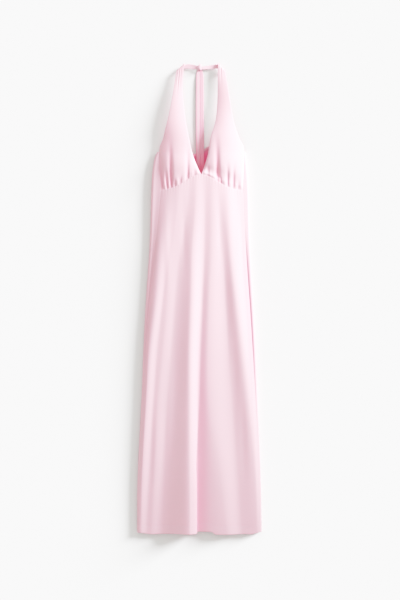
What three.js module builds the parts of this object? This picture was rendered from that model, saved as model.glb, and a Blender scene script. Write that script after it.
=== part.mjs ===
// A long halter dress laid face up on a flat surface. Two gathered cups run up into neck straps, which
// fold over at the neck into narrow ties knotted behind it. A low back wraps round both sides to the
// side seams, and a long flared skirt front hangs in soft flutes from the seam under the cups.
// Millimetres. X runs across the dress, Y from the hem to the neck, Z up from the surface. Every panel
// is drawn with Y counted from the hem and X from the neck point, and the whole is centred at the end.

import * as THREE from "three";

// Driving sizes
const cloth = 1.2; // wall of a panel
const tieCloth = 1.6; // wall of a tie, which is a flat tube of two layers
const seamGap = 0.3; // parting between sewn pieces
const neckTop = 1430; // hem to the top of the neck fold
const seamSide = 1043; // hem to the seam under the cups, at the sides
const seamArch = 47; // how much higher that seam runs below the neck point
const archWidth = 64; // half width of that arch
const backTopSide = 1160; // hem to the top of the back, at the side seams
const backScoop = 12; // how much lower the back's top edge is at its middle
const backLift = { x: 30, width: 40, rise: 30 }; // where that edge lies pushed up beside the ties
const crestRound = 0.12; // rounding of a sharp crest, as a share of its slope
const cupPuff = 4.5; // swelling of the gathered cloth above the seam under the cups
const edgeCalm = 0.06; // share of a cup's width next to its edges that the gathers leave calm
const neckHeight = 4.3; // middle of a tie above the surface, where the strap folds over it
const centreShift = { x: 5, y: -neckTop / 2 };

// Sections of the body from the hem up. left and right are the reach of each side from the centre line,
// leftSeam and rightSeam how far in from there the side seams lie, side the height of the rounded side,
// loft how much higher the middle of the front lies, and ramp the width over which it climbs.
const sections = [
  { y: 0, left: 194, right: 184, leftSeam: 3, rightSeam: 3, side: 9, loft: 1, ramp: 26 },
  { y: 160, left: 193, right: 181, leftSeam: 3, rightSeam: 3, side: 9, loft: 2, ramp: 30 },
  { y: 405, left: 181, right: 171.5, leftSeam: 4, rightSeam: 6, side: 10, loft: 4, ramp: 40 },
  { y: 650, left: 171, right: 161, leftSeam: 8, rightSeam: 10, side: 11, loft: 7, ramp: 52 },
  { y: 890, left: 155.5, right: 148.5, leftSeam: 18, rightSeam: 14, side: 12, loft: 11, ramp: 72 },
  { y: 1043, left: 151, right: 145, leftSeam: 29, rightSeam: 17, side: 13, loft: 15, ramp: 90 },
  { y: 1101, left: 147.5, right: 141.5, leftSeam: 22, rightSeam: 12, side: 13, loft: 16, ramp: 95 },
  { y: 1143, left: 140.5, right: 137, leftSeam: 14, rightSeam: 6, side: 12, loft: 15, ramp: 95 },
  { y: 1162, left: 133, right: 134, leftSeam: 6.5, rightSeam: 4, side: 11, loft: 14, ramp: 95 },
];

// Flutes of the skirt front. Each follows its crest, with the rise above the panel and the width of the
// left and the right slope. lean pushes the right slope outwards over the next valley. crisp steepens
// the left slope towards a sharp crest, or below zero towards its foot.
const flutes = [
  [
    { y: 0, crest: -35, rise: 27, left: 104, right: 17, lean: 13, crisp: 0.5 },
    { y: 150, crest: -35, rise: 24, left: 94, right: 18, lean: 12, crisp: 0.6 },
    { y: 253, crest: -36, rise: 20, left: 82, right: 24, lean: 6, crisp: 0.7 },
    { y: 406, crest: -36, rise: 16, left: 70, right: 32, lean: 1, crisp: 0.8 },
    { y: 558, crest: -35, rise: 13.5, left: 60, right: 36, lean: 0, crisp: 0.9 },
    { y: 711, crest: -30, rise: 10.5, left: 54, right: 37, lean: 0, crisp: 0.9 },
    { y: 863, crest: -26, rise: 6.5, left: 40, right: 38, lean: 0, crisp: 0.7 },
    { y: 985, crest: -17, rise: 3.6, left: 28, right: 30, lean: 0, crisp: 0.5 },
    { y: 1095, crest: -14, rise: 1, left: 22, right: 22, lean: 0, crisp: 0.3 },
  ],
  [
    { y: 0, crest: 76, rise: 15, left: 84, right: 50, lean: 0, crisp: -0.9 },
    { y: 200, crest: 58, rise: 14, left: 66, right: 58, lean: 0, crisp: -0.9 },
    { y: 430, crest: 30, rise: 11, left: 38, right: 68, lean: 0, crisp: -0.5 },
    { y: 711, crest: 30, rise: 8, left: 26, right: 46, lean: 0, crisp: 0 },
    { y: 863, crest: 33, rise: 5.6, left: 27, right: 34, lean: 0, crisp: 0 },
    { y: 1095, crest: 34, rise: 0.8, left: 22, right: 22, lean: 0, crisp: 0 },
  ],
  [
    { y: 0, crest: 168, rise: 2, left: 60, right: 22, lean: 0, crisp: 0 },
    { y: 200, crest: 160, rise: 5.5, left: 62, right: 24, lean: 0, crisp: 0 },
    { y: 430, crest: 138, rise: 8.5, left: 50, right: 34, lean: 0, crisp: 0 },
    { y: 711, crest: 106, rise: 8.5, left: 34, right: 42, lean: 0, crisp: 0 },
    { y: 863, crest: 92, rise: 6.5, left: 28, right: 40, lean: 0, crisp: 0 },
    { y: 1095, crest: 80, rise: 0.6, left: 22, right: 22, lean: 0, crisp: 0 },
  ],
  [
    { y: 0, crest: -147, rise: 1.8, left: 22, right: 30, lean: 0, crisp: 0 },
    { y: 253, crest: -137, rise: 2.4, left: 20, right: 30, lean: 0, crisp: 0 },
    { y: 406, crest: -128, rise: 1.8, left: 20, right: 30, lean: 0, crisp: 0 },
    { y: 711, crest: -100, rise: 1.4, left: 20, right: 28, lean: 0, crisp: 0 },
    { y: 900, crest: -92, rise: 0, left: 20, right: 30, lean: 0, crisp: 0 },
  ],
  [
    { y: 0, crest: -187, rise: 1.5, left: 8, right: 20, lean: 0, crisp: 0 },
    { y: 253, crest: -176, rise: 3.4, left: 13, right: 22, lean: 0, crisp: 0 },
    { y: 406, crest: -166, rise: 4.4, left: 17, right: 24, lean: 0, crisp: 0 },
    { y: 558, crest: -156, rise: 5, left: 22, right: 24, lean: 0, crisp: 0 },
    { y: 711, crest: -139, rise: 5.4, left: 28, right: 26, lean: 0, crisp: 0 },
    { y: 863, crest: -120, rise: 5, left: 34, right: 28, lean: 0, crisp: 0 },
    { y: 985, crest: -108, rise: 2.4, left: 34, right: 30, lean: 0, crisp: 0 },
    { y: 1095, crest: -104, rise: 0, left: 28, right: 26, lean: 0, crisp: 0 },
  ],
];

// The hem is cut level, and draws up in the deep valley beside the tallest flute and at its two ends.
const hemDraws = [
  { from: -17, full: -6, until: 30, to: 45, draw: 8 },
  { from: -300, full: -299, until: -190, to: -150, draw: 4 },
  { from: 150, full: 182, until: 299, to: 300, draw: 6 },
];

// Ribs of each cup and its strap, from the seam up to the fold at the neck and back under it. outer is
// the armhole side and inner the neckline side. crown is how far the cloth between them swells.
// The first three outer points are the side seam, and their height comes from the back panel.
const leftRibs = [
  { outerX: -122, outerY: 1043, outerZ: 14, innerX: -0.6, innerY: 1092, innerZ: 17, crown: 0 },
  { outerX: -125.5, outerY: 1101, outerZ: 14, innerX: -13.7, innerY: 1121, innerZ: 23, crown: 14 },
  { outerX: -126.5, outerY: 1160, outerZ: 12, innerX: -26, innerY: 1153, innerZ: 26, crown: 14 },
  { outerX: -116, outerY: 1199, outerZ: 15, innerX: -38, innerY: 1205, innerZ: 27, crown: 9 },
  { outerX: -103.7, outerY: 1247, outerZ: 18, innerX: -47.3, innerY: 1257, innerZ: 24, crown: 5 },
  { outerX: -91.5, outerY: 1302, outerZ: 18, innerX: -53.4, innerY: 1308, innerZ: 20, crown: 2.5 },
  { outerX: -83, outerY: 1351, outerZ: 15, innerX: -56.4, innerY: 1351, innerZ: 16, crown: 1.6 },
  { outerX: -77.4, outerY: 1392, outerZ: 12.5, innerX: -54.6, innerY: 1400, innerZ: 12.5, crown: 1 },
  { outerX: -75.4, outerY: 1404, outerZ: 11.6, innerX: -51.6, innerY: 1426, innerZ: 11.6, crown: 0.5 },
  { outerX: -74.7, outerY: 1407.6, outerZ: 8.8, innerX: -50.3, innerY: 1429.4, innerZ: 8.8, crown: 0 },
  { outerX: -71.6, outerY: 1404.4, outerZ: 6, innerX: -48.6, innerY: 1425, innerZ: 6, crown: 0 },
];
const rightRibs = [
  { outerX: 128, outerY: 1046, outerZ: 14, innerX: 0.6, innerY: 1092, innerZ: 17, crown: 0 },
  { outerX: 129.5, outerY: 1101, outerZ: 14, innerX: 10.7, innerY: 1119, innerZ: 23, crown: 14 },
  { outerX: 130.5, outerY: 1160, outerZ: 12, innerX: 20.7, innerY: 1153, innerZ: 26, crown: 14 },
  { outerX: 116.5, outerY: 1199, outerZ: 15, innerX: 30, innerY: 1205, innerZ: 27, crown: 9 },
  { outerX: 99.7, outerY: 1247, outerZ: 18, innerX: 43.5, innerY: 1252, innerZ: 24, crown: 5 },
  { outerX: 89.4, outerY: 1302, outerZ: 18, innerX: 49, innerY: 1305, innerZ: 20, crown: 2.5 },
  { outerX: 81.7, outerY: 1351, outerZ: 15, innerX: 50.3, innerY: 1351, innerZ: 16, crown: 1.6 },
  { outerX: 75.4, outerY: 1392, outerZ: 12.5, innerX: 50.8, innerY: 1400, innerZ: 12.5, crown: 1 },
  { outerX: 73.8, outerY: 1404, outerZ: 11.6, innerX: 51.3, innerY: 1426, innerZ: 11.6, crown: 0.5 },
  { outerX: 73.2, outerY: 1407.6, outerZ: 8.8, innerX: 50.6, innerY: 1429.4, innerZ: 8.8, crown: 0 },
  { outerX: 70.2, outerY: 1404.4, outerZ: 6, innerX: 48.9, innerY: 1425, innerZ: 6, crown: 0 },
];

// Gathers of each cup, as troughs that climb from the seam. foot is where a trough leaves the seam and
// head where it dies out, both counted from the centre line.
const leftGathers = [
  { foot: -118, head: -126, reach: 130, depth: 5, width: 5 },
  { foot: -102, head: -109, reach: 75, depth: 5.5, width: 4.2 },
  { foot: -90, head: -96, reach: 165, depth: 7, width: 5 },
  { foot: -78.5, head: -81, reach: 32, depth: 4.5, width: 3.6 },
  { foot: -63, head: -63, reach: 34, depth: 3.5, width: 4.2 },
  { foot: -41, head: -41, reach: 125, depth: 5, width: 4.6 },
  { foot: -20, head: -22, reach: 30, depth: 2.5, width: 4 },
];
const rightGathers = [
  { foot: 20, head: 20, reach: 44, depth: 2.5, width: 4 },
  { foot: 49.5, head: 47, reach: 165, depth: 7, width: 5 },
  { foot: 60, head: 59, reach: 30, depth: 4.5, width: 3.6 },
  { foot: 80, head: 80, reach: 85, depth: 4.5, width: 4.2 },
  { foot: 96, head: 100, reach: 90, depth: 4, width: 4.2 },
  { foot: 112, head: 114, reach: 34, depth: 2.5, width: 4 },
];

// Ribs of the ties between each strap and the knot, and of their two hanging ends.
const leftTieRibs = [
  { outerX: -64, outerY: 1403, outerZ: neckHeight, innerX: -57.5, innerY: 1418.5, innerZ: neckHeight },
  { outerX: -52, outerY: 1415.4, outerZ: neckHeight, innerX: -44, innerY: 1428.4, innerZ: neckHeight },
  { outerX: -29, outerY: 1415, outerZ: 4, innerX: -28.5, innerY: 1427.6, innerZ: 5 },
  { outerX: -11.5, outerY: 1414.4, outerZ: 4, innerX: -11.2, innerY: 1423, innerZ: 7.4 },
];
const rightTieRibs = [
  { outerX: 63, outerY: 1403, outerZ: neckHeight, innerX: 57, innerY: 1418.5, innerZ: neckHeight },
  { outerX: 52, outerY: 1415.4, outerZ: neckHeight, innerX: 46, innerY: 1428.4, innerZ: neckHeight },
  { outerX: 26, outerY: 1414.2, outerZ: 4.8, innerX: 25.6, innerY: 1425, innerZ: 3.6 },
  { outerX: 2.5, outerY: 1413.4, outerZ: 7, innerX: 2.3, innerY: 1421.4, innerZ: 4 },
];
const leftEndRibs = [
  { outerX: -9, outerY: 1419, outerZ: 1, innerX: -4.9, innerY: 1419, innerZ: 1 },
  { outerX: -14.6, outerY: 1397, outerZ: 1.3, innerX: -4.4, innerY: 1397, innerZ: 1.3 },
  { outerX: -15.4, outerY: 1360, outerZ: 2.8, innerX: -4.2, innerY: 1360, innerZ: 2.8 },
  { outerX: -15.6, outerY: 1270, outerZ: 3.4, innerX: -4, innerY: 1270, innerZ: 3.4 },
  { outerX: -15.2, outerY: 1180, outerZ: 3.1, innerX: -3.6, innerY: 1180, innerZ: 3.1 },
  { outerX: -14, outerY: 1120, outerZ: 2.9, innerX: -2.4, innerY: 1120, innerZ: 2.9 },
  { outerX: -13, outerY: 1066, outerZ: 2.6, innerX: -1.4, innerY: 1069, innerZ: 2.6 },
];
const rightEndRibs = [
  { outerX: -4.2, outerY: 1419, outerZ: 1, innerX: 0, innerY: 1419, innerZ: 1 },
  { outerX: -3.8, outerY: 1397, outerZ: 1.3, innerX: 6.4, innerY: 1397, innerZ: 1.3 },
  { outerX: -3.6, outerY: 1360, outerZ: 2.8, innerX: 7.6, innerY: 1360, innerZ: 2.9 },
  { outerX: -3.4, outerY: 1270, outerZ: 3.4, innerX: 7.8, innerY: 1270, innerZ: 3.5 },
  { outerX: -3, outerY: 1180, outerZ: 3.1, innerX: 8.4, innerY: 1180, innerZ: 3.2 },
  { outerX: -1.8, outerY: 1120, outerZ: 2.9, innerX: 9.6, innerY: 1120, innerZ: 3 },
  { outerX: -0.6, outerY: 1062, outerZ: 2.6, innerX: 11, innerY: 1060, innerZ: 2.7 },
];
const knot = { x: -4.5, y: 1419, z: 6.2, width: 13, height: 15, depth: 8 };

// Grid counts of each panel
const frontGrid = {
  along: 19,
  columns: [
    { from: 0, to: 0.4, count: 15 },
    { from: 0.4, to: 0.52, count: 16 },
    { from: 0.52, to: 1, count: 18 },
  ],
};
const backGrid = { flat: 9, side: 9, above: 6 };
const cupGrid = { across: 38, cup: 12, strap: 6, fold: 6, cupPower: 1.35 };
const tieGrid = { across: 2, along: 8 };

const clamp = (value) => Math.min(1, Math.max(0, value));
const ease = (value) => clamp(value) ** 2 * (3 - 2 * clamp(value));
const mix = (from, to, share) => from + (to - from) * share;

// One column of a table, read on a smooth curve through its rows. key is the column that counts along
// the table, or null to count rows.
function read(table, column, place, key = "y") {
  const spot = (row) => (key ? table[row][key] : row);
  const last = table.length - 1;
  if (place <= spot(0)) return table[0][column];
  if (place >= spot(last)) return table[last][column];
  let row = 0;
  while (place > spot(row + 1)) row += 1;
  const slope = (at) => {
    const before = Math.max(0, at - 1);
    const after = Math.min(last, at + 1);
    return (table[after][column] - table[before][column]) / (spot(after) - spot(before));
  };
  const span = spot(row + 1) - spot(row);
  const t = (place - spot(row)) / span;
  const start = table[row][column] * (1 + 2 * t) * (1 - t) ** 2;
  const end = table[row + 1][column] * t * t * (3 - 2 * t);
  return start + end + span * (slope(row) * t * (1 - t) ** 2 - slope(row + 1) * t * t * (1 - t));
}

// Height of a flute's cross-section at x, and how far it leans there.
function fluteAt(flute, x, y) {
  const top = flute[flute.length - 1];
  if (y > top.y && top.rise === 0) return { rise: 0, lean: 0 };
  const offset = x - read(flute, "crest", y);
  const share = Math.abs(offset) / read(flute, offset < 0 ? "left" : "right", y);
  if (share >= 1) return { rise: 0, lean: 0 };
  const crisp = offset < 0 ? read(flute, "crisp", y) : 0;
  const peaked = Math.max(0, 1 - Math.hypot(share, crestRound)) ** 1.7 / (1 - crestRound) ** 1.7;
  const full = Math.cos((Math.PI / 2) * share);
  const slope = mix(0.5 + 0.5 * Math.cos(Math.PI * share), crisp < 0 ? full : peaked, Math.abs(crisp));
  const rise = read(flute, "rise", y) * slope;
  const lean = offset > 0 ? read(flute, "lean", y) * Math.sin(Math.PI * share) ** 2 : 0;
  return { rise, lean };
}

// Middle of the wall of the upper layer: its height above the surface at x and y, and its lean.
function upperLayer(x, y) {
  const fromLeft = x + read(sections, "left", y);
  const fromRight = read(sections, "right", y) - x;
  const inwards = Math.max(0, Math.min(fromLeft, fromRight));
  const radius = read(sections, "side", y) / 2;
  const turn = Math.sqrt(1 - (1 - Math.min(inwards, radius) / radius) ** 2);
  const climb = ease(inwards / read(sections, "ramp", y));
  let z = cloth / 2 + radius + radius * turn + read(sections, "loft", y) * climb;
  let lean = 0;
  for (const flute of flutes) {
    const fold = fluteAt(flute, x, y);
    z += fold.rise * ease((inwards - 2) / 12);
    lean += fold.lean;
  }
  return { z, lean };
}

// Side seam of one side at height y, with side -1 for the left and 1 for the right.
function sideSeam(side, y) {
  const [reach, seam] = side < 0 ? ["left", "leftSeam"] : ["right", "rightSeam"];
  return side * (read(sections, reach, y) - read(sections, seam, y));
}

const seamLine = (x) => seamSide + seamArch * Math.exp(-((x / archWidth) ** 2));
const backTop = (x) =>
  backTopSide - backScoop * (1 - ease(Math.abs(x) / 120)) +
  backLift.rise * Math.exp(-(((x - backLift.x) / backLift.width) ** 2));

function hemLine(x) {
  let y = 0;
  for (const d of hemDraws) {
    const share = ease((x - d.from) / (d.full - d.from)) * ease((d.to - x) / (d.to - d.until));
    y += d.draw * share;
  }
  return y;
}

// A closed wall of cloth round a grid of points, half its thickness to each side along the normals. At
// the points in sewn it stands upright, so that the parting along a seam stays even.
function wallOf(rows, thickness, sewn = new Set()) {
  const along = rows.length;
  const across = rows[0].length;
  const points = [];
  for (const side of [1, -1]) {
    for (let j = 0; j < along; j++) {
      for (let i = 0; i < across; i++) {
        const alongStep = new THREE.Vector3().subVectors(
          rows[Math.min(along - 1, j + 1)][i],
          rows[Math.max(0, j - 1)][i],
        );
        const acrossStep = new THREE.Vector3().subVectors(
          rows[j][Math.min(across - 1, i + 1)],
          rows[j][Math.max(0, i - 1)],
        );
        const normal = acrossStep.cross(alongStep).normalize();
        if (sewn.has(rows[j][i])) normal.set(0, 0, Math.sign(normal.z));
        points.push(rows[j][i].clone().addScaledVector(normal, (side * thickness) / 2));
      }
    }
  }
  const upper = (j, i) => j * across + i;
  const under = (j, i) => along * across + j * across + i;
  const index = [];
  const quad = (a, b, c, d) => index.push(a, b, c, a, c, d);
  for (let j = 0; j + 1 < along; j++) {
    for (let i = 0; i + 1 < across; i++) {
      quad(upper(j, i), upper(j, i + 1), upper(j + 1, i + 1), upper(j + 1, i));
      quad(under(j, i), under(j + 1, i), under(j + 1, i + 1), under(j, i + 1));
    }
    quad(upper(j, 0), upper(j + 1, 0), under(j + 1, 0), under(j, 0));
    quad(upper(j, across - 1), under(j, across - 1), under(j + 1, across - 1), upper(j + 1, across - 1));
  }
  for (let i = 0; i + 1 < across; i++) {
    quad(upper(0, i), under(0, i), under(0, i + 1), upper(0, i + 1));
    quad(upper(along - 1, i), upper(along - 1, i + 1), under(along - 1, i + 1), under(along - 1, i));
  }
  return new THREE.BufferGeometry().setFromPoints(points).setIndex(index);
}

// Shares of a panel's width at which its columns lie.
function columnShares(bands) {
  const shares = [0];
  for (const band of bands) {
    for (let i = 1; i <= band.count; i++) shares.push(mix(band.from, band.to, i / band.count));
  }
  return shares;
}

const sideEdges = (rows) => rows.flatMap((row) => [row[0], row.at(-1)]);

// The skirt front, from one side seam to the other and from the hem to the seam under the cups.
function skirtFront() {
  const rows = [];
  for (let j = 0; j <= frontGrid.along; j++) {
    const up = j / frontGrid.along;
    const level = up * seamSide;
    const row = [];
    for (const share of columnShares(frontGrid.columns)) {
      const x = mix(sideSeam(-1, level) + seamGap / 2, sideSeam(1, level) - seamGap / 2, share);
      const y = mix(hemLine(x), seamLine(x) - seamGap / 2, up);
      const layer = upperLayer(x, y);
      row.push(new THREE.Vector3(x + layer.lean, y, layer.z));
    }
    rows.push(row);
  }
  return wallOf(rows, cloth, new Set([...rows.at(-1), ...sideEdges(rows)]));
}

// One section of the back, from the left side seam down round the side, flat along the surface, and up
// to the right side seam.
function backSection(y) {
  const radius = read(sections, "side", y) / 2;
  const section = [];
  for (const side of [-1, 1]) {
    const reach = read(sections, side < 0 ? "left" : "right", y);
    const seam = reach - Math.abs(sideSeam(side, y)) - seamGap / 2;
    const half = [];
    const onTop = Math.max(0, seam - radius);
    const startTurn = onTop > 0 ? Math.PI / 2 : Math.acos(1 - seam / radius);
    const path = onTop + radius * (startTurn + Math.PI / 2);
    for (let i = 0; i <= backGrid.side; i++) {
      const along = (path * i) / backGrid.side;
      const turn = startTurn - Math.max(0, along - onTop) / radius;
      const x = side * (reach - radius + radius * Math.cos(turn) - Math.max(0, onTop - along));
      const z = turn > 0 ? upperLayer(x, y).z : cloth / 2 + radius + radius * Math.sin(turn);
      half.push(new THREE.Vector2(x, z));
    }
    section.push(half);
  }
  const [left, right] = section;
  const from = left[left.length - 1];
  const to = right[right.length - 1];
  const flat = [];
  for (let i = 1; i < backGrid.flat; i++) {
    flat.push(new THREE.Vector2(mix(from.x, to.x, i / backGrid.flat), cloth / 2));
  }
  return [...left, ...flat, ...right.reverse()];
}

// The back wraps both sides, so its cloth faces down on the surface. Beside the skirt front it has the
// same rows as the front, so that the two edges of the side seam run side by side.
function back() {
  const rows = [];
  for (let j = 0; j <= frontGrid.along; j++) {
    const up = j / frontGrid.along;
    const section = backSection(up * seamSide);
    const top = seamLine(section[0].x) - seamGap / 2;
    rows.push(section.map((p) => new THREE.Vector3(p.x, mix(hemLine(p.x), top, up), p.y)));
  }
  for (let j = 1; j <= backGrid.above; j++) {
    const up = j / backGrid.above;
    const section = backSection(mix(seamSide, backTopSide, up));
    const foot = seamLine(section[0].x) - seamGap / 2;
    rows.push(section.map((p) => new THREE.Vector3(p.x, mix(foot, backTop(p.x), up), p.y)));
  }
  return wallOf(rows.reverse(), cloth, new Set(sideEdges(rows)));
}

// Depth of the gathers at a point of a cup. lift is how far the point lies above the seam.
function gatherDepth(gathers, x, lift) {
  let depth = 0;
  for (const g of gathers) {
    const climb = lift / g.reach;
    if (climb >= 1) continue;
    const offset = (x - mix(g.foot, g.head, clamp(climb))) / (g.width * (1 + 0.5 * climb));
    depth += g.depth * (1 - ease(climb)) * Math.exp(-offset * offset);
  }
  return depth;
}

// Where along the ribs each row of a cup lies: close together near the seam and round the fold.
function cupStations(ribCount) {
  const stations = [];
  const strapStart = 5;
  const foldStart = ribCount - 4;
  for (let j = 0; j < cupGrid.cup; j++) stations.push(strapStart * (j / cupGrid.cup) ** cupGrid.cupPower);
  for (let j = 0; j < cupGrid.strap; j++) stations.push(mix(strapStart, foldStart, j / cupGrid.strap));
  for (let j = 0; j <= cupGrid.fold; j++) stations.push(mix(foldStart, ribCount - 1, j / cupGrid.fold));
  return stations;
}

// A cup with its strap. The wall swells between its edges, meets the skirt front along the seam and the
// back along the side seam, and carries the gathers.
function cup(ribs, gathers) {
  const side = Math.sign(ribs[0].outerX);
  const sideSeamRibs = 2;
  const sewn = new Set();
  const rows = cupStations(ribs.length).map((station) => {
    const row = [];
    const columns = ["outerX", "outerY", "outerZ", "innerX", "innerY", "innerZ", "crown"];
    const rib = Object.fromEntries(columns.map((c) => [c, read(ribs, c, station, null)]));
    const onSideSeam = 1 - ease(station - sideSeamRibs);
    const onSeam = Math.min(rib.outerY, backTopSide);
    const outerX = mix(rib.outerX, sideSeam(side, onSeam) - (side * seamGap) / 2, onSideSeam);
    const outerZ = mix(rib.outerZ, upperLayer(outerX, onSeam).z, onSideSeam);
    for (let i = 0; i <= cupGrid.across; i++) {
      const share = i / cupGrid.across;
      const x = mix(outerX, rib.innerX, share);
      const straight = mix(ribs[0].outerY, ribs[0].innerY, share);
      const settle = clamp(1 - station / 1.6) ** 2;
      const seamRise = seamLine(x) + seamGap / 2 - straight;
      const y = mix(rib.outerY, rib.innerY, share) + seamRise * settle;
      const free = mix(outerZ, rib.innerZ, share) + rib.crown * Math.sin(Math.PI * share) ** 0.8;
      const seamZ = upperLayer(x, seamLine(x)).z;
      const lift = Math.max(0, y - seamLine(x));
      const gathered = (puff(station) - gatherDepth(gathers, x, lift)) * edgeFade(share);
      const point = new THREE.Vector3(x, y, mix(seamZ, free, ease(station / 0.9)) + gathered);
      if (station === 0 || (i === 0 && station < sideSeamRibs)) sewn.add(point);
      row.push(point);
    }
    return side < 0 ? row : row.reverse();
  });
  return wallOf(rows, cloth, sewn);
}

// The gathered cloth puffs up just above the seam, so that its troughs come down to the seam's level.
const puff = (station) => cupPuff * ease(station / 0.12) * (1 - ease(station / 3));

// Gathers die out towards the side seam and the neckline.
const edgeFade = (share) => ease(share / edgeCalm) * ease((1 - share) / edgeCalm);

// A narrow flat tie along its ribs.
function tie(ribs) {
  const rows = [];
  for (let j = 0; j <= tieGrid.along; j++) {
    const station = ((ribs.length - 1) * j) / tieGrid.along;
    const row = [];
    for (let i = 0; i <= tieGrid.across; i++) {
      const share = i / tieGrid.across;
      row.push(
        new THREE.Vector3(
          mix(read(ribs, "outerX", station, null), read(ribs, "innerX", station, null), share),
          mix(read(ribs, "outerY", station, null), read(ribs, "innerY", station, null), share),
          mix(read(ribs, "outerZ", station, null), read(ribs, "innerZ", station, null), share),
        ),
      );
    }
    rows.push(row);
  }
  const [a, b, c] = [rows[0][0], rows[0][1], rows[1][0]];
  const facesUp = (b.x - a.x) * (c.y - a.y) - (b.y - a.y) * (c.x - a.x) > 0;
  return wallOf(facesUp ? rows : rows.map((row) => row.reverse()), tieCloth);
}

function knotBall() {
  const ball = new THREE.SphereGeometry(0.5, 12, 8);
  ball.scale(knot.width, knot.height, knot.depth);
  return ball.translate(knot.x, knot.y, knot.z);
}

const jersey = new THREE.MeshStandardMaterial({ color: "#f3ccd8", roughness: 0.75, metalness: 0 });
const dress = new THREE.Group();

function sew(name, geometry) {
  const piece = new THREE.Mesh(geometry, jersey.clone());
  piece.name = name;
  dress.add(piece);
}

sew("skirt_front", skirtFront());
sew("back", back());
sew("cup_left", cup(leftRibs, leftGathers));
sew("cup_right", cup(rightRibs, rightGathers));
sew("tie_left", tie(leftTieRibs));
sew("tie_right", tie(rightTieRibs));
sew("tie_end_left", tie(leftEndRibs));
sew("tie_end_right", tie(rightEndRibs));
sew("tie_knot", knotBall());

dress.position.set(centreShift.x, centreShift.y, 0);

export default dress;
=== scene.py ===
import bisect
import math
import random

import bmesh
import bpy
from mathutils import Matrix, Vector


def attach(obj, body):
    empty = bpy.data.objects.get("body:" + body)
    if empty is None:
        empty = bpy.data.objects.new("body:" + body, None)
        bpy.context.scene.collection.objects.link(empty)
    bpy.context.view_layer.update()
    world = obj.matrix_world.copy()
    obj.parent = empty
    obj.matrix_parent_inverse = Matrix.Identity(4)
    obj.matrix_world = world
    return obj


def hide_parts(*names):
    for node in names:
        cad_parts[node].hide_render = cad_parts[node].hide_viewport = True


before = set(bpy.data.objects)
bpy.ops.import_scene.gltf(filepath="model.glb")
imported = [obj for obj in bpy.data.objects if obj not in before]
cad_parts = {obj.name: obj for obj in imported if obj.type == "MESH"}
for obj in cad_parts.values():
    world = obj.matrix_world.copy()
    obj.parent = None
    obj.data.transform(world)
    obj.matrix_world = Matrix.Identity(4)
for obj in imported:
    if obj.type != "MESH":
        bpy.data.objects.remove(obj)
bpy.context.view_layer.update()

# A long halter dress in pale pink jersey, laid face up on a white surface. Two gathered cups run up into
# straps, which fold over at the neck into narrow ties knotted behind it. A low back wraps round both
# sides, and a long flared skirt front hangs in soft flutes from the seam under the cups.
# Lengths are millimetres, as on a paper pattern: x from the middle of the neck, y up from the hem and
# z up from the surface. place() turns them into the frame's metres.

print("frame loaded with", len(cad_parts), "nodes")

# Camera, straight above the dress
cameraSizes = {"x": 0.0015, "y": -0.0043, "height": 3.0, "lens": 59, "sensor": 36}
cameraData = bpy.data.cameras.new("camera")
cameraData.lens = cameraSizes["lens"]
cameraData.sensor_width = cameraSizes["sensor"]
camera = bpy.data.objects.new("camera", cameraData)
camera.location = (cameraSizes["x"], cameraSizes["y"], cameraSizes["height"])
bpy.context.scene.collection.objects.link(camera)
bpy.context.scene.camera = camera

# Measures of the cut, shared by the pieces
cloth = 1.0  # thickness of the jersey
seamGap = 0.06  # parting between two sewn edges
sideFoot = 0.6  # how far above the surface the rounded sides begin
neckTop = 1430  # hem to the top of the neck fold
seamSide = 1043  # hem to the seam under the cups, at the sides
seamArch = {"rise": 47, "halfWidth": 64}  # how that seam climbs below the neck point
backTopSide = 1160  # hem to the top of the back, at the side seams
backScoop = {"drop": 12, "halfWidth": 120}  # how the back's top edge dips at its middle
backLift = {"x": 30, "width": 40, "rise": 30}  # where that edge lies pushed up beside the ties
centreShift = {"x": 5, "y": -neckTop / 2}


# A table as one dictionary a row, under the names of its columns
def tableOf(columns, *rows):
    return [dict(zip(columns.split(), row)) for row in rows]


# Sections of the body from the hem up: reach of each side from the centre line, how far in from there
# the side seams lie, height of the rounded side, how much higher the middle lies, and how wide it climbs
sections = tableOf(
    "y left right leftSeam rightSeam side loft ramp",
    (0, 194, 184, 3, 3, 12.5, 0, 26),
    (160, 193, 181, 3, 3, 13, 0.5, 30),
    (405, 181, 171.5, 4, 6, 13, 2, 40),
    (650, 171, 161, 8, 10, 12, 6, 52),
    (890, 155.5, 148.5, 18, 14, 12, 11, 72),
    (1043, 151, 145, 29, 17, 13, 15, 90),
    (1101, 147.5, 141.5, 22, 12, 13, 16, 95),
    (1143, 140.5, 137, 14, 6, 12, 15, 95),
    (1162, 133, 134, 6.5, 4, 11, 14, 95),
)

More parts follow.
